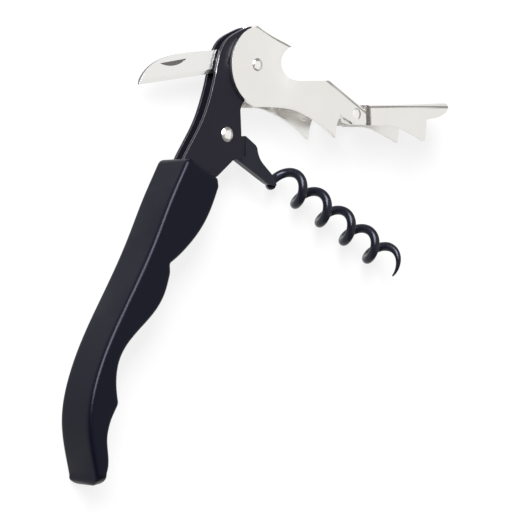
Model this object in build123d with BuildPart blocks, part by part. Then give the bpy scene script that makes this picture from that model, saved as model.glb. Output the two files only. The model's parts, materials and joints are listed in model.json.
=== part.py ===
"""A waiter's corkscrew with a two-step lever, laid on its side with its blade, worm and levers open.

Every pivot is parallel to Z. The grip runs along -Y from the head, and the open worm points along +X.
"""

import os
from math import atan2, cos, degrees, hypot, radians, sin

from build123d import *

os.makedirs("parts", exist_ok=True)

# Driving dimensions, in mm
grip_width = 11.2
mid_z = grip_width / 2
worm_hinge = (-18.28, 22.6)  # where the worm's rivet stands, which centres the whole tool on the origin
lever_hinge = (-0.7, 18.3)  # this and the knife's hinge are measured from the worm's rivet
knife_hinge = (-8.1, 14.7)
end_hinge = (28.7, -12.0)  # from the lever's hinge, in the lever's own axes
lever_angle = 32.3  # both levers stand at this angle to +X
knife_angle = -141.5

frame_width = 3.8
frame_sheet = 0.8
lever_sheet = 0.9
lever_width = 10.4
lever_head_width = 5.8
ear_width = 8.4
ear_radius = 2.0
blade_thickness = 1.0
shank_thickness = 1.8

lever_rivet_radius = 1.0
knife_pin_radius = 1.0
worm_rivet_radius = 1.2
end_rivet_radius = 0.9
running_gap = 0.05  # radial clearance of each turning hole
tool_reach = 110  # longer than any cut

worm_pitch = 8.95
worm_turns = 4.5
point_turns = 0.46
point_radius = 0.2
coil_radius = 2.95
wire_radius = 1.1
coil_start = (18.6, 0.4)  # on the coil's axis, from the worm's rivet


def plane_at(spot, angle):
    """The mid-plane with its origin at a spot and its x axis turned from +X by an angle."""
    turn = radians(angle)
    return Plane(origin=(spot[0], spot[1], mid_z), x_dir=(cos(turn), sin(turn), 0), z_dir=(0, 0, 1))


def spot_on(plane, x, y):
    """The XY place of a point given in a plane's own axes."""
    place = plane.from_local_coords((x, y, 0))
    return (place.X, place.Y)


body_plane = plane_at(worm_hinge, 0)
lever_plane = plane_at(spot_on(body_plane, *lever_hinge), lever_angle)
end_plane = plane_at(spot_on(lever_plane, *end_hinge), lever_angle)
knife_plane = plane_at(spot_on(body_plane, *knife_hinge), knife_angle)
hinge_planes = {"worm": body_plane, "lever": lever_plane, "end": end_plane, "knife": knife_plane}
for name, plane in hinge_planes.items():
    print(name, "hinge at", round(plane.origin.X, 3), round(plane.origin.Y, 3), round(plane.origin.Z, 3))


# Frame: one folded steel channel, open at the head and closed along the back inside the grip
frame_back = [
    (-8.4, -11.9),
    (-8.2, -8.0),
    (-7.8, -0.7),
    (-8.3, 4.0),
    (-9.6, 10.1),
    (-10.7, 14.2),
    (-10.9, 17.5),
]
frame_crown = [frame_back[-1], (-9.7, 20.8), (-7.9, 23.3), (-5.9, 25.5)]
head_radius = 7.0
head_start, head_end = radians(118), radians(-76)
tongue_top, tongue_end = -17.0, -60.0
tongue_back = -8.4
throat = (0.3, 7.4)  # the frame's front, from its narrow throat to the collar of the grip
belly = (6.4, -2.4)
frame_front = [throat, belly, (4.3, -4.4), (2.1, -9.8), (0.9, -11.6), (0.9, tongue_top)]
tongue_front = [(-5.2, tongue_top), (-6.4, tongue_end)]
tongue_shoulder = (tongue_back, -13.0)
throat_chamfer = 0.6
belly_round = 1.0


def upright_at(piece, spot):
    """The upright edge of a piece that stands nearest to a spot given from the worm's rivet."""
    place = body_plane.from_local_coords((*spot, 0))
    return piece.edges().filter_by(Axis.Z).sort_by_distance(place)[:1]


with BuildPart() as frame:
    with BuildSketch(body_plane):
        with BuildLine():
            back = Spline(frame_back, tangents=((0, 1), (0.1, 1)))
            Spline(frame_crown, tangents=(back % 1, (0.75, 0.6)))
            over = [
                (lever_hinge[0] + head_radius * cos(a), lever_hinge[1] + head_radius * sin(a))
                for a in (head_start, (head_start + head_end) / 2, head_end)
            ]
            Line(frame_crown[-1], over[0])
            ThreePointArc(*over)
            Polyline(over[2], *frame_front, *tongue_front)
            Polyline(tongue_front[-1], (tongue_back, tongue_end), tongue_shoulder, back @ 0)
        make_face()
    extrude(amount=frame_width / 2, both=True)
    chamfer(upright_at(frame, throat), throat_chamfer)
    fillet(upright_at(frame, belly), belly_round)
    with BuildSketch(body_plane):
        with Locations((0, tongue_top + tool_reach / 2)):
            Rectangle(tool_reach, tool_reach)
        with Locations((tongue_back + frame_sheet + tool_reach / 2, tongue_end)):
            Rectangle(tool_reach, 2 * tool_reach)
    extrude(amount=frame_width / 2 - frame_sheet, both=True, mode=Mode.SUBTRACT)
    with BuildSketch(body_plane):
        Circle(worm_rivet_radius)
        with Locations(lever_hinge):
            Circle(lever_rivet_radius)
        with Locations(knife_hinge):
            Circle(knife_pin_radius)
    extrude(amount=frame_width, both=True, mode=Mode.SUBTRACT)
frame.part.label = "frame_channel"
export_step(frame.part, "parts/frame_channel.step")


# Grip: one moulded plastic sleeve over the frame's tongue, with a trough for the folded worm
grip_top = -11.6
back_line = [
    (-9.8, -19.7),
    (-9.2, -33.0),
    (-9.3, -46.0),
    (-9.5, -60.0),
    (-8.6, -68.0),
    (-5.5, -76.9),
    (1.9, -86.0),
]
tail_end = [(3.7, -87.1), (4.8, -85.6)]
tail_line = [(4.1, -83.6), (3.6, -81.8), (1.9, -79.1), (0.4, -76.6), (-0.4, -73.2), (-0.4, -69.0)]
waist_line = [
    (-0.4, -69.0),
    (-3.0, -65.4),
    (-4.7, -60.5),
    (-3.1, -52.3),
    (-0.7, -41.0),
    (-1.3, -37.8),
    (-2.6, -35.3),
]
thumb_line = [(-2.6, -35.3), (0.1, -29.4), (1.8, -22.0), (1.6, -15.0), (1.4, -13.2)]
collar_front = 0.2
grip_corners = [  # each with its radius
    ((back_line[0][0], grip_top), 1.7),
    (waist_line[0], 1.8),
    (thumb_line[0], 0.8),
    (thumb_line[-1], 1.0),
    ((collar_front, grip_top), 1.0),
]
grip_edge = 1.2
tail_round = 3.6
coil_bay_top, coil_bay_end = -16.0, -67.0
coil_bay_width = 8.7
coil_bay_floor = -4.2
collar_slot_width = 2.6
frame_fit = 0.02
tail_apex = (3.6, -87.2)
tail_plane = Plane(
    origin=body_plane.from_local_coords((*tail_apex, 0)), x_dir=(0.62, -0.78, 0), z_dir=(-0.78, -0.62, 0)
)
tongue_slot = [
    (-9.0, 0),
    (3.0, 0),
    (3.0, tongue_top),
    (-5.1, tongue_top),
    (-6.3, tongue_end - 0.1),
    (tongue_back - frame_fit, tongue_end - 0.1),
    (tongue_back - frame_fit, tongue_shoulder[1]),
    (-9.0, -11.0),
]

with BuildPart() as grip:
    with BuildSketch(body_plane):
        with BuildLine():
            Line((back_line[0][0], grip_top), back_line[0])
            rear = Spline(back_line, tangents=((0, -1), (0.6, -0.7)))
            ThreePointArc(rear @ 1, *tail_end)
            Line(tail_end[1], tail_line[0])
            Spline(tail_line, tangents=((-0.1, 1), (0, 1)))
            Spline(waist_line, tangents=((-0.5, 0.6), (-0.7, 1)))
            Spline(thumb_line, tangents=((0.6, 1), (-0.1, 1)))
            Polyline(thumb_line[-1], (collar_front, grip_top), (back_line[0][0], grip_top))
        make_face()
    extrude(amount=grip_width / 2, both=True)
    for spot, radius in grip_corners:
        fillet(upright_at(grip, spot), radius)
    fillet(grip.faces().filter_by(Axis.Z).edges(), grip_edge)
    with BuildSketch(tail_plane):
        with Locations((-tool_reach, 0)):
            RectangleRounded(2 * tool_reach, grip_width, tail_round)
    extrude(amount=tool_reach, both=True, mode=Mode.INTERSECT)
    with BuildSketch(body_plane):
        with Locations((coil_bay_floor + tool_reach / 2, (coil_bay_top + coil_bay_end) / 2)):
            Rectangle(tool_reach, coil_bay_top - coil_bay_end)
    extrude(amount=coil_bay_width / 2, both=True, mode=Mode.SUBTRACT)
    with BuildSketch(body_plane):
        with Locations((coil_bay_floor + tool_reach / 2, grip_top)):
            Rectangle(tool_reach, 2 * (grip_top - coil_bay_top) + 1)
    extrude(amount=collar_slot_width / 2, both=True, mode=Mode.SUBTRACT)
    with BuildSketch(body_plane):
        with BuildLine():
            Polyline(*tongue_slot, close=True)
        make_face()
    extrude(amount=frame_width / 2 + frame_fit, both=True, mode=Mode.SUBTRACT)
grip.part.label = "grip"
export_step(grip.part, "parts/grip.step")


def stack(plane, spot, levels, label):
    """A turned piece across the mid-plane: discs and rings as (radius, bore, low, high)."""
    with BuildPart() as piece:
        for radius, bore, low, high in levels:
            with BuildSketch(plane.offset(low)):
                with Locations(spot):
                    Circle(radius)
                    if bore:
                        Circle(bore, mode=Mode.SUBTRACT)
            extrude(amount=high - low)
    piece.part.label = label
    return piece.part


def domed_rivet(plane, radius, dome_radius, held_half, dome_height, label):
    """A rivet at a plane's origin, whose two low domed heads close on what it holds."""
    crown = (dome_radius**2 + dome_height**2) / (2 * dome_height)
    with BuildPart() as piece:
        with BuildSketch(Plane(plane.origin, x_dir=plane.x_dir, z_dir=-plane.y_dir)):
            with BuildLine():
                Polyline((0, 0), (radius, 0), (radius, held_half), (dome_radius, held_half))
                RadiusArc((dome_radius, held_half), (0, held_half + dome_height), -crown)
                Line((0, held_half + dome_height), (0, 0))
            make_face()
            mirror(about=Plane.XZ)
        revolve(axis=Axis(plane.origin, plane.z_dir))
    piece.part.label = label
    return piece.part


# Knife: a stamped blade with a half-moon nail nick, on a sunk pin between two thin washers
blade_edge = 2.3
blade_heel = [(2.6, blade_edge), (-2.9, 0.9), (1.0, -2.9)]
blade_spine = [(9.5, -3.2), (16.3, -2.9), (20.8, -1.7), (23.8, 0.3), (25.3, blade_edge)]
bevel_height, bevel_depth = 1.0, 0.35
nick_arc = [(10.9, -1.9), (14.8, -0.75), (18.7, -1.7)]
nick_depth = 0.4
pin_recess = 0.15

with BuildPart() as knife:
    with BuildSketch(knife_plane):
        with BuildLine():
            heel = ThreePointArc(*blade_heel)
            spine = Spline(heel @ 1, *blade_spine)
            Line(spine @ 1, heel @ 0)
        make_face()
        Circle(knife_pin_radius + running_gap, mode=Mode.SUBTRACT)
    extrude(amount=blade_thickness / 2, both=True)
    edge_face = knife.faces().sort_by(Axis(knife_plane.origin, knife_plane.y_dir))[-1]
    chamfer(edge_face.edges().sort_by(SortBy.LENGTH)[-2:], bevel_depth, bevel_height, reference=edge_face)
    with BuildSketch(knife_plane.offset(blade_thickness / 2)):
        with BuildLine():
            nick = ThreePointArc(*nick_arc)
            Line(nick @ 1, nick @ 0)
        make_face()
    extrude(amount=-nick_depth, mode=Mode.SUBTRACT)
knife.part.label = "knife_blade"
export_step(knife.part, "parts/knife_blade.step")

pin_half = frame_width / 2 - pin_recess
knife_pin = stack(body_plane, knife_hinge, [(knife_pin_radius, 0, -pin_half, pin_half)], "knife_pin")
export_step(knife_pin, "parts/knife_pin.step")

washer_gap = 0.02
washer_radius = 1.7
with_blade, with_frame = blade_thickness / 2 + washer_gap, frame_width / 2 - frame_sheet - washer_gap
washer_levels = [
    (washer_radius, knife_pin_radius + running_gap, -with_frame, -with_blade),
    (washer_radius, knife_pin_radius + running_gap, with_blade, with_frame),
]
knife_washers = stack(body_plane, knife_hinge, washer_levels, "knife_washers")
export_step(knife_washers, "parts/knife_washers.step")


# Boot lever: folded steel, narrow where it hugs the frame and flared to straddle the worm
head_left = [(0.2, 8.8), (-7.8, -0.4), (-0.6, -9.75)]
web_top = [(1.3, 9.2), (8.1, 5.3)]
lifter_tip = (9.8, 4.3)
claw = [(8.4, 3.7), (6.4, 0.6), (8.8, -3.6)]
arm_corner = (21.4, -4.0)
arm_slope_end = (30.7, -9.9)
arm_web_length = 8.2
arm_end = [(31.7, -12.0), (31.7, -13.8), (30.9, -14.6), (28.0, -14.6)]
arm_end_rounds = (2.8, 0.8)
inner_notch = [arm_end[-1], (26.2, -13.4), (23.4, -11.8)]
rim_rest = (21.3, -17.5)
rim_curve = [rim_rest, (17.0, -14.2), (10.2, -11.0), head_left[2]]
bend_round = 1.3  # outer radius of the folds of both levers
flare_start, flare_end = 2.0, 11.5


def flared_plan(plane, head_half, arm_half):
    """Plan of the lever, seen along its own y axis: narrow at the head, wide from the flare on."""
    with BuildSketch(plane) as plan:
        with BuildLine():
            Line((-tool_reach, head_half), (flare_start, head_half))
            Spline((flare_start, head_half), (flare_end, arm_half), tangents=((1, 0), (1, 0)))
            Line((flare_end, arm_half), (tool_reach, arm_half))
            mirror(about=Plane.XZ)
            Line((-tool_reach, head_half), (-tool_reach, -head_half))
            Line((tool_reach, arm_half), (tool_reach, -arm_half))
        make_face()
    return plan.sketch


def web_strip(plane, start, end, length):
    """A web's section: a strip one sheet thick, just inside the line from start to end."""
    along = Vector(*end) - Vector(*start)
    inward = Vector(along.Y, -along.X).normalized()
    middle = Vector(*start) + along.normalized() * (length / 2) + inward * (lever_sheet / 2 - 1)
    with BuildSketch(plane) as strip:
        with Locations(Location((middle.X, middle.Y, 0), (0, 0, degrees(atan2(along.Y, along.X))))):
            Rectangle(length, lever_sheet + 2)
    return strip.sketch


lever_plan_plane = Plane(lever_plane.origin, x_dir=lever_plane.x_dir, z_dir=-lever_plane.y_dir)
cap_direction = Axis((0, 0, 0), lever_plane.x_dir * (web_top[1][0] - web_top[0][0])
                     + lever_plane.y_dir * (web_top[1][1] - web_top[0][1]))
arm_direction = Axis((0, 0, 0), lever_plane.x_dir * (arm_slope_end[0] - arm_corner[0])
                     + lever_plane.y_dir * (arm_slope_end[1] - arm_corner[1]))
cap_web_length = hypot(lifter_tip[0] - web_top[0][0], lifter_tip[1] - web_top[0][1]) + 2

with BuildPart() as lever_bay:
    head_inside, arm_inside = lever_head_width / 2 - lever_sheet, lever_width / 2 - lever_sheet
    extrude(flared_plan(lever_plan_plane, head_inside, arm_inside), amount=tool_reach, both=True)
    cap_web = web_strip(lever_plane, web_top[0], web_top[1], cap_web_length)
    extrude(cap_web, amount=lever_width, both=True, mode=Mode.SUBTRACT)
    arm_web = web_strip(lever_plane, arm_corner, arm_slope_end, arm_web_length)
    extrude(arm_web, amount=lever_width, both=True, mode=Mode.SUBTRACT)

with BuildPart() as boot_lever:
    with BuildSketch(lever_plane):
        with BuildLine():
            ThreePointArc(*head_left)
            Polyline(head_left[0], *web_top, lifter_tip, claw[0])
            ThreePointArc(*claw)
            Polyline(claw[2], (10.4, -3.95), arm_corner, arm_slope_end)
            RadiusArc(arm_slope_end, arm_end[0], arm_end_rounds[0])
            Line(arm_end[0], arm_end[1])
            RadiusArc(arm_end[1], arm_end[2], arm_end_rounds[1])
            Line(arm_end[2], arm_end[3])
            Spline(inner_notch, tangents=((-0.4, 1), (-1, 0.6)))
            Spline(inner_notch[-1], (22.2, -14.2), rim_rest, tangents=((-0.3, -1), (-0.35, -1)))
            Spline(rim_curve, tangents=((-0.8, 0.9), (-1, 0)))
        make_face()
    extrude(amount=lever_width / 2, both=True)
    outside = flared_plan(lever_plan_plane, lever_head_width / 2, lever_width / 2)
    extrude(outside, amount=tool_reach, both=True, mode=Mode.INTERSECT)
    fillet(boot_lever.edges().filter_by(cap_direction), bend_round)
    fillet(boot_lever.edges().filter_by(arm_direction), bend_round)
    add(lever_bay.part, mode=Mode.SUBTRACT)
    with BuildSketch(lever_plane):
        Circle(lever_rivet_radius + running_gap)
        with Locations(end_hinge):
            Circle(end_rivet_radius)
    extrude(amount=lever_width, both=True, mode=Mode.SUBTRACT)
boot_lever.part.label = "boot_lever"
export_step(boot_lever.part, "parts/boot_lever.step")


# End lever: folded steel whose ears step inwards between the boot lever's cheeks
end_top = 2.1
end_tip = 31.2
joggle_start, joggle_end = 4.0, 4.7
end_rest = (22.6, -7.1)
end_shoulder = 3.7
end_front = 0.9
end_nose = [(end_tip, end_front), (29.2, -0.8), (23.5, -1.8)]
end_rim = [end_rest, (18.3, -5.1), (13.0, -3.3), (8.0, -2.9)]
ear_outline = [end_rim[-1], (4.5, -2.8), (2.6, -2.5), (-0.6, -2.5), (-3.3, -1.9), (-4.0, 0.1)]
ear_top = [(ear_radius * cos(radians(a)), ear_radius * sin(radians(a))) for a in (140, 80, 20)]


def joggled_plan(plane, ear_half, arm_half):
    """Plan of the end lever: its ears, a short step out, and its full width."""
    with BuildSketch(plane) as plan:
        with BuildLine():
            Polyline((-tool_reach, ear_half), (joggle_start, ear_half), (joggle_end, arm_half))
            Line((joggle_end, arm_half), (tool_reach, arm_half))
            mirror(about=Plane.XZ)
            Line((-tool_reach, ear_half), (-tool_reach, -ear_half))
            Line((tool_reach, arm_half), (tool_reach, -arm_half))
        make_face()
    return plan.sketch


end_plan_plane = Plane(end_plane.origin, x_dir=end_plane.x_dir, z_dir=-end_plane.y_dir)

with BuildPart() as end_bay:
    ear_inside, end_inside = ear_width / 2 - lever_sheet, lever_width / 2 - lever_sheet
    extrude(joggled_plan(end_plan_plane, ear_inside, end_inside), amount=tool_reach, both=True)
    end_web = web_strip(end_plane, (end_shoulder, end_top), (end_tip, end_top), end_tip)
    extrude(end_web, amount=lever_width, both=True, mode=Mode.SUBTRACT)

with BuildPart() as end_lever:
    with BuildSketch(end_plane):
        with BuildLine():
            Polyline(ear_top[2], (end_shoulder, end_front), (end_shoulder, end_top), (end_tip, end_top))
            Line((end_tip, end_top), end_nose[0])
            Spline(end_nose, tangents=((-0.5, -1), (-1, -0.1)))
            Line(end_nose[-1], end_rest)
            Spline(end_rim, tangents=((-1, 0.55), (-1, 0)))
            Polyline(*ear_outline, ear_top[0])
            ThreePointArc(*ear_top)
        make_face()
    extrude(amount=lever_width / 2, both=True)
    joggled = joggled_plan(end_plan_plane, ear_width / 2, lever_width / 2)
    extrude(joggled, amount=tool_reach, both=True, mode=Mode.INTERSECT)
    top_edges = end_lever.faces().sort_by(Axis(end_plane.origin, end_plane.y_dir))[-1].edges()
    fillet(top_edges.filter_by(Axis((0, 0, 0), end_plane.x_dir)).sort_by(SortBy.LENGTH)[-2:], bend_round)
    add(end_bay.part, mode=Mode.SUBTRACT)
    with BuildSketch(end_plane):
        Circle(end_rivet_radius + running_gap)
    extrude(amount=lever_width, both=True, mode=Mode.SUBTRACT)
end_lever.part.label = "end_lever"
export_step(end_lever.part, "parts/end_lever.step")


# Rivets, and the tube that keeps the frame's sides apart under the lever's rivet
bush_half = frame_width / 2 - frame_sheet - washer_gap
lever_bush = stack(body_plane, lever_hinge, [(2.0, lever_rivet_radius, -bush_half, bush_half)], "lever_bush")
export_step(lever_bush, "parts/lever_bush.step")

rivets = (  # each with its hinge, radius, heads' radius, half of what it holds, and heads' height
    ("lever_rivet", lever_plane, lever_rivet_radius, 1.5, lever_head_width / 2 + running_gap, 0.55),
    ("worm_rivet", body_plane, worm_rivet_radius, 1.75, frame_width / 2, 0.75),
    ("end_rivet", end_plane, end_rivet_radius, 1.35, lever_width / 2, 0.35),
)
for label, plane, radius, rivet_head_radius, held_half, rivet_head_height in rivets:
    rivet = domed_rivet(plane, radius, rivet_head_radius, held_half, rivet_head_height, label)
    export_step(rivet, f"parts/{label}.step")


# Worm: a right-handed open helix of round wire, drawn down to a point over its last part of a turn
coil_plane = Plane(
    origin=body_plane.from_local_coords((*coil_start, 0)), x_dir=(0, -1, 0), z_dir=(1, 0, 0)
)
whole_coil = coil_plane * Helix(worm_pitch, worm_pitch * (worm_turns + point_turns), coil_radius)
point_share = worm_turns / (worm_turns + point_turns)
coil, point = whole_coil.trim(0, point_share), whole_coil.trim(point_share, 1)

with BuildPart() as worm:
    with BuildSketch(Plane(coil @ 0, z_dir=coil % 0)):
        Circle(wire_radius)
    sweep(path=coil, is_frenet=True)
    with BuildSketch(Plane(point @ 0, z_dir=point % 0)):
        Circle(wire_radius)
    with BuildSketch(Plane(point @ 1, z_dir=point % 1)):
        Circle(point_radius)
    sweep(path=point, multisection=True, is_frenet=True)
worm.part.label = "worm"
export_step(worm.part, "parts/worm.step")


# Worm shank: a stamped plate that turns between the frame's sides, with a hooked wing outside them
shank_eye = [(1.6, 2.6), (-2.6, 1.6), (0.4, -3.05)]
shank_heel = (15.0, -3.2)
shank_tip = [shank_heel, (17.6, -3.1), (19.4, -2.2)]
shank_neck = [(14.2, -0.1), (12.2, 0.5), (10.0, 2.4)]
shank_wing = [shank_neck[-1], (9.3, 2.7), (5.6, 3.0), (8.0, -1.3), (3.4, -1.3), shank_eye[0]]

with BuildPart() as worm_shank:
    with BuildSketch(body_plane):
        with BuildLine():
            ThreePointArc(*shank_eye)
            Line(shank_eye[-1], shank_heel)
            Spline(shank_tip, tangents=((1, 0), (0.6, 1)))
            Spline(shank_tip[-1], (18.4, -1.35), shank_neck[0], tangents=((-0.7, 0.7), (-1, 0.3)))
            Spline(shank_neck, tangents=((-1, 0.2), (-0.8, 1)))
            Polyline(*shank_wing)
        make_face()
        Circle(worm_rivet_radius + running_gap, mode=Mode.SUBTRACT)
    extrude(amount=shank_thickness / 2, both=True)
    add(worm.part, mode=Mode.SUBTRACT)
worm_shank.part.label = "worm_shank"
export_step(worm_shank.part, "parts/worm_shank.step")
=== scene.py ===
"""A waiter's corkscrew with a black grip, a foil cutter, a black worm and a bright two-step lever."""

import json
import math

import bpy
from mathutils import Matrix, Vector

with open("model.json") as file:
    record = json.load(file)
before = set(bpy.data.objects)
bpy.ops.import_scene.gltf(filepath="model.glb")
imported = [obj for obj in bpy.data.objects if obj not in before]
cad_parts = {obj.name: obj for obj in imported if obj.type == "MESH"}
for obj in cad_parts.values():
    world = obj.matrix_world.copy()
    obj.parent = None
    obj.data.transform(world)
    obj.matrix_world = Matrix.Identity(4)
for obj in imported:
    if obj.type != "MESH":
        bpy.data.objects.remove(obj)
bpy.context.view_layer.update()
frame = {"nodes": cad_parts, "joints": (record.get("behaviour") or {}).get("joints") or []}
nodes = frame["nodes"]
hinges = {joint["name"]: Vector(joint["pos_m"]) for joint in frame["joints"]}
bpy.ops.object.select_all(action="DESELECT")


# Steel channel of the handle and the knife's pin: folded sheet, painted black. Its broad cheeks
# have a soft even sheen, and its cut edges carry a painted highlight: thin bright lines of bare-steel colour.
class Socket:
    """A shader socket that can be added, subtracted and multiplied as a number."""

    def __init__(self, tree, link):
        self.tree, self.link = tree, link

    def math(self, operation, first, second):
        return node(self.tree, "ShaderNodeMath", {"operation": operation}, {0: first, 1: second})[0]

    def __add__(self, other):
        return self.math("ADD", self, other)

    def __mul__(self, other):
        return self.math("MULTIPLY", self, other)

    def __sub__(self, other):
        return self.math("SUBTRACT", self, other)

    def __rsub__(self, other):
        return self.math("SUBTRACT", other, self)

    __radd__ = __add__
    __rmul__ = __mul__


def node(tree, kind, settings=None, values=None):
    """Adds a node of a kind with its settings and its sockets' values or links, and returns its outputs."""
    made = tree.nodes.new(kind)
    for name, setting in (settings or {}).items():
        setattr(made, name, setting)
    for key, value in (values or {}).items():
        if isinstance(value, Socket):
            tree.links.new(value.link, made.inputs[key])
        else:
            made.inputs[key].default_value = value
    return [Socket(tree, output) for output in made.outputs]


def surface(name, **constants):
    """Starts a material and returns it with its tree, its shader and its Object coordinates."""
    material = bpy.data.materials.new(name)
    material.use_nodes = True
    tree = material.node_tree
    shader = tree.nodes["Principled BSDF"]
    for socket, value in constants.items():
        shader.inputs[socket.replace("_", " ")].default_value = value
    place = node(tree, "ShaderNodeTexCoord")[3]
    return material, tree, shader, place


def split(tree, place):
    """The x, y and z of a place."""
    return node(tree, "ShaderNodeSeparateXYZ", None, {0: place})


def blend(tree, factor, first, second):
    """A colour between two colours."""
    values = {0: factor}
    for key, colour in ((6, first), (7, second)):
        values[key] = colour if isinstance(colour, Socket) else (*colour, 1.0)
    return node(tree, "ShaderNodeMix", {"data_type": "RGBA", "blend_type": "MIX"}, values)[2]


def noise(tree, place, scale, detail=3.0, stretch=(1.0, 1.0, 1.0), turn=0.0):
    """Cloudy noise, from 0 to 1, on the piece's own coordinates, stretched or turned as asked."""
    turned = {0: place, "Rotation": (0.0, 0.0, turn), "Scale": stretch}
    mapped = node(tree, "ShaderNodeMapping", None, turned)[0]
    return node(tree, "ShaderNodeTexNoise", None, {"Vector": mapped, "Scale": scale, "Detail": detail})[0]


def smooth_step(tree, value, low, high, out_low=0.0, out_high=1.0):
    """A value eased from one range to another and held at its ends."""
    limits = {0: value, 1: low, 2: high, 3: out_low, 4: out_high}
    return node(tree, "ShaderNodeMapRange", {"interpolation_type": "SMOOTHSTEP"}, limits)[0]


def uneven(tree, cloud, smoothest, roughest):
    """A roughness that wanders with a noise's clouds."""
    return smooth_step(tree, cloud, 0.3, 0.7, smoothest, roughest)


def band(tree, value, low, high):
    """A mask, 1 where a value lies between two limits and 0 elsewhere."""
    limits = {0: value, 1: (low + high) / 2, 2: (high - low) / 2}
    return node(tree, "ShaderNodeMath", {"operation": "COMPARE"}, limits)[0]


def bump(tree, shader, height, strength, distance):
    """Raises the surface by a height."""
    relief = {"Strength": strength, "Distance": distance, "Height": height}
    raised = node(tree, "ShaderNodeBump", None, relief)[0]
    tree.links.new(raised.link, shader.inputs["Normal"])


def feed(tree, shader, **links):
    """Links what varies over the surface to the shader's sockets."""
    for socket, value in links.items():
        tree.links.new(value.link, shader.inputs[socket.replace("_", " ")])


def dress(names, material):
    """Gives CAD nodes a material."""
    for name in names:
        piece = nodes[name]
        piece.data.materials.clear()
        piece.data.materials.append(material)


def round_edges(names, width, segments=2):
    """Rounds the sharp edges of CAD nodes by a small live bevel and smooths what curves."""
    for name in names:
        piece = nodes[name]
        weld = piece.modifiers.new("weld", "WELD")
        weld.merge_threshold = 1e-6
        bevel = piece.modifiers.new("edges", "BEVEL")
        bevel.width, bevel.segments, bevel.limit_method = width, segments, "ANGLE"
        bevel.angle_limit = math.radians(35)
        bevel.harden_normals = True


channel_half, channel_sheet = 0.0019, 0.0008
channel_inside = channel_half - channel_sheet
channel_edge = 0.00016
line_margin = 0.00002
outer_line = (channel_half - 0.00010, channel_half - line_margin)
inner_line = (channel_inside + line_margin, channel_inside + 0.00007)
enamel_colours = (0.004, 0.0035, 0.006), (0.007, 0.006, 0.010)
edge_highlight_steel = (0.42, 0.42, 0.45)

enamel, tree, shader, place = surface(
    "black_enamel", Specular_IOR_Level=0.16, Specular_Tint=(0.84, 0.86, 1.0, 1.0))
cloud = noise(tree, place, 120.0)
fine = noise(tree, place, 2600.0, 2.0)
from_middle = split(tree, place)[2] - hinges["worm_hinge"].z
rise = node(tree, "ShaderNodeMath", {"operation": "ABSOLUTE"}, {0: from_middle})[0]
# Painted highlight: thin bands at the heights of the cut edges take bare-steel colour and metal, standing for
# the light those edges catch.
edge_highlight = band(tree, rise, *outer_line) + band(tree, rise, *inner_line)
feed(tree, shader, Base_Color=blend(tree, edge_highlight, blend(tree, cloud, *enamel_colours), edge_highlight_steel),
     Metallic=edge_highlight, Roughness=uneven(tree, cloud, 0.34, 0.44))
bump(tree, shader, fine, 0.06, 0.00003)
dress(["frame_channel", "knife_pin"], enamel)
round_edges(["frame_channel"], channel_edge)


# Grip: a sleeve moulded in black plastic, satin from its mould, with a faint fine grain and the
# small round that a mould leaves on every corner.
grip_colours = (0.0012, 0.0012, 0.004), (0.002, 0.002, 0.0055)
mould_round = 0.0003

plastic, tree, shader, place = surface(
    "grip_plastic", Specular_IOR_Level=0.12, Specular_Tint=(0.80, 0.86, 1.0, 1.0))
cloud = noise(tree, place, 60.0)
grain = noise(tree, place, 5200.0, 2.0)
feed(tree, shader, Base_Color=blend(tree, cloud, *grip_colours), Roughness=uneven(tree, cloud, 0.27, 0.33))
bump(tree, shader, grain, 0.10, 0.00002)
dress(["grip"], plastic)
round_edges(["grip"], mould_round)


# Worm and its shank: hardened steel wire and plate under a thin black non-stick coating, glossier
# than the frame's enamel.
coating_colours = (0.003, 0.003, 0.006), (0.006, 0.006, 0.010)
shank_edge = 0.00014

coating, tree, shader, place = surface(
    "worm_coating", Specular_IOR_Level=0.24, Specular_Tint=(0.80, 0.84, 1.0, 1.0))
cloud = noise(tree, place, 300.0)
feed(tree, shader, Base_Color=blend(tree, cloud, *coating_colours), Roughness=uneven(tree, cloud, 0.20, 0.28))
bump(tree, shader, noise(tree, place, 3000.0, 2.0), 0.08, 0.00002)
dress(["worm", "worm_shank"], coating)
round_edges(["worm_shank"], shank_edge)


# Levers: folded steel sheet with a soft satin shine, as nickel plate has. The end lever's step is
# coloured dark, which stands in for the shade that a deep bend reflects.
lever_edge = 0.00016
lever_turn = math.radians(32.3)
hair_turn = math.radians(-32)
step_start, step_end = (0.0038, 0.0041), (0.0044, 0.0049)  # along the end lever, from its hinge
nickel_colours = (0.77, 0.76, 0.735), (0.83, 0.82, 0.80)
step_brown = (0.10, 0.085, 0.07)
step_shade = 0.85

nickel, tree, shader, place = surface("satin_nickel", Metallic=1.0)
cloud = noise(tree, place, 90.0)
hair = noise(tree, place, 900.0, 2.0, (1.0, 6.0, 1.0), hair_turn)
end_hinge = hinges["end_lever_hinge"]
x, y, z = split(tree, place)
along = (x - end_hinge.x) * math.cos(lever_turn) + (y - end_hinge.y) * math.sin(lever_turn)
step = smooth_step(tree, along, *step_start) * smooth_step(tree, along, *step_end, 1.0, 0.0)
feed(tree, shader,
     Base_Color=blend(tree, step * step_shade, blend(tree, cloud, *nickel_colours), step_brown),
     Roughness=uneven(tree, cloud, 0.20, 0.27) + (hair - 0.5) * 0.06)
bump(tree, shader, hair, 0.05, 0.00002)
dress(["boot_lever", "end_lever"], nickel)
round_edges(["boot_lever", "end_lever"], lever_edge)


# Knife: a stamped steel blade, ground along its edge and brushed across. The floor of its nail
# nick and its cut edges lie below its polished face and are coloured darker, as painted shade for the dark
# they reflect.
full_shade_height, polished_height = 0.00572, 0.00577
blade_colours = (0.80, 0.80, 0.79), (0.83, 0.83, 0.82)
nick_shade_colour = (0.16, 0.15, 0.15)
blade_edge = 0.00008
brush_turn = math.radians(38)

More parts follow.
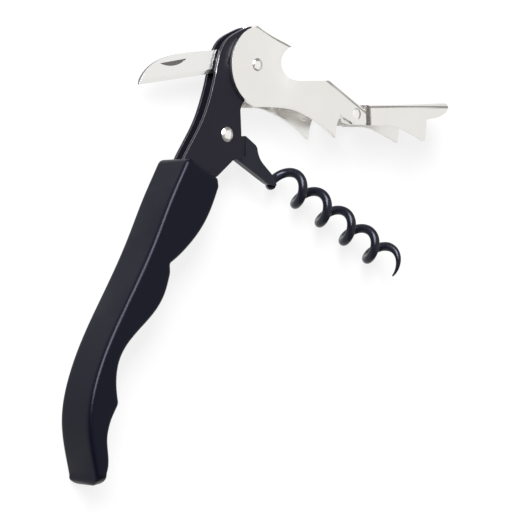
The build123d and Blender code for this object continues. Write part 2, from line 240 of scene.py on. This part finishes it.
steel, tree, shader, place = surface("blade_steel", Metallic=1.0)
brushed = noise(tree, place, 700.0, 3.0, (8.0, 1.0, 1.0), brush_turn)
# Painted shade: below the polished face the blade turns dark, on the nick's floor and the cut edges.
nick_shade = smooth_step(tree, split(tree, place)[2], full_shade_height, polished_height, 1.0, 0.0)
feed(tree, shader, Base_Color=blend(tree, nick_shade, blend(tree, brushed, *blade_colours), nick_shade_colour),
     Roughness=uneven(tree, brushed, 0.22, 0.28))
bump(tree, shader, brushed, 0.004, 0.00001)
dress(["knife_blade"], steel)
round_edges(["knife_blade"], blade_edge)


# Rivets, washers and the spacer tube: turned steel, bright from the press that closed them, with
# the press's faint marks.
rivet_colours = (0.82, 0.81, 0.79), (0.90, 0.89, 0.87)

bright, tree, shader, place = surface("bright_steel", Metallic=1.0)
cloud = noise(tree, place, 800.0)
feed(tree, shader, Base_Color=blend(tree, cloud, *rivet_colours), Roughness=uneven(tree, cloud, 0.14, 0.24))
bump(tree, shader, noise(tree, place, 1400.0, 1.0), 0.12, 0.00004)
dress(["lever_rivet", "worm_rivet", "end_rivet", "knife_washers", "lever_bush"], bright)


# Floor: one broad pale sheet under the tool. It glows by itself, so that it stays white and the
# tool's shadows stay weak.
floor_width = 6.0
floor_greys = (0.11, 0.11, 0.11), (0.13, 0.13, 0.13)

bpy.ops.mesh.primitive_plane_add(size=floor_width, location=(0.0, 0.0, 0.0))
floor = bpy.context.object
floor.name = "floor"
pale, tree, shader, place = surface(
    "pale_floor", Roughness=0.9, Specular_IOR_Level=0.0,
    Emission_Color=(1.0, 1.0, 1.0, 1.0), Emission_Strength=0.80)
feed(tree, shader, Base_Color=blend(tree, noise(tree, place, 3.0), *floor_greys))
floor.data.materials.append(pale)


# Light and camera: a warm grey studio, with a broad lamp overhead that the flat steel mirrors and
# a strip that draws the line of light down the grip's edge.
lamp_distance = 0.9

scene = bpy.context.scene
scene.view_settings.view_transform = "Standard"
world = bpy.data.worlds.new("studio")
scene.world = world
world.use_nodes = True
backdrop = world.node_tree.nodes["Background"]
backdrop.inputs["Color"].default_value = (1.0, 0.975, 0.93, 1.0)
backdrop.inputs["Strength"].default_value = 0.30


def softbox(name, direction, size, power):
    """A rectangular lamp that faces the tool from a direction."""
    lamp = bpy.data.lights.new(name, "AREA")
    lamp.shape, lamp.size, lamp.size_y, lamp.energy = "RECTANGLE", *size, power
    holder = bpy.data.objects.new(name, lamp)
    scene.collection.objects.link(holder)
    spot = Vector(direction).normalized() * lamp_distance
    facing = (-spot).to_track_quat("-Z", "Y").to_matrix().to_4x4()
    holder.matrix_world = Matrix.Translation(spot) @ facing


softbox("broad", (0.36, 0.20, 0.91), (1.5, 1.7), 5.6)
softbox("strip", (-0.77, 0.22, 0.60), (0.75, 0.46), 26.0)

middle = Vector((0.00421, 0.0032, 0.0056))
camera_distance = 0.55
ahead = Vector((0.5738, 0.3181, -0.7547)).normalized()
up = Vector((-0.4848, 0.8746, 0.0))
up = (up - up.dot(ahead) * ahead).normalized()
right = ahead.cross(up)
camera = bpy.data.cameras.new("camera")
camera.lens, camera.sensor_width, camera.clip_start = 166.3, 36.0, 0.01
holder = bpy.data.objects.new("camera", camera)
scene.collection.objects.link(holder)
turn = Matrix((right, up, -ahead)).transposed().to_4x4()
holder.matrix_world = Matrix.Translation(middle - camera_distance * ahead) @ turn
scene.camera = holder
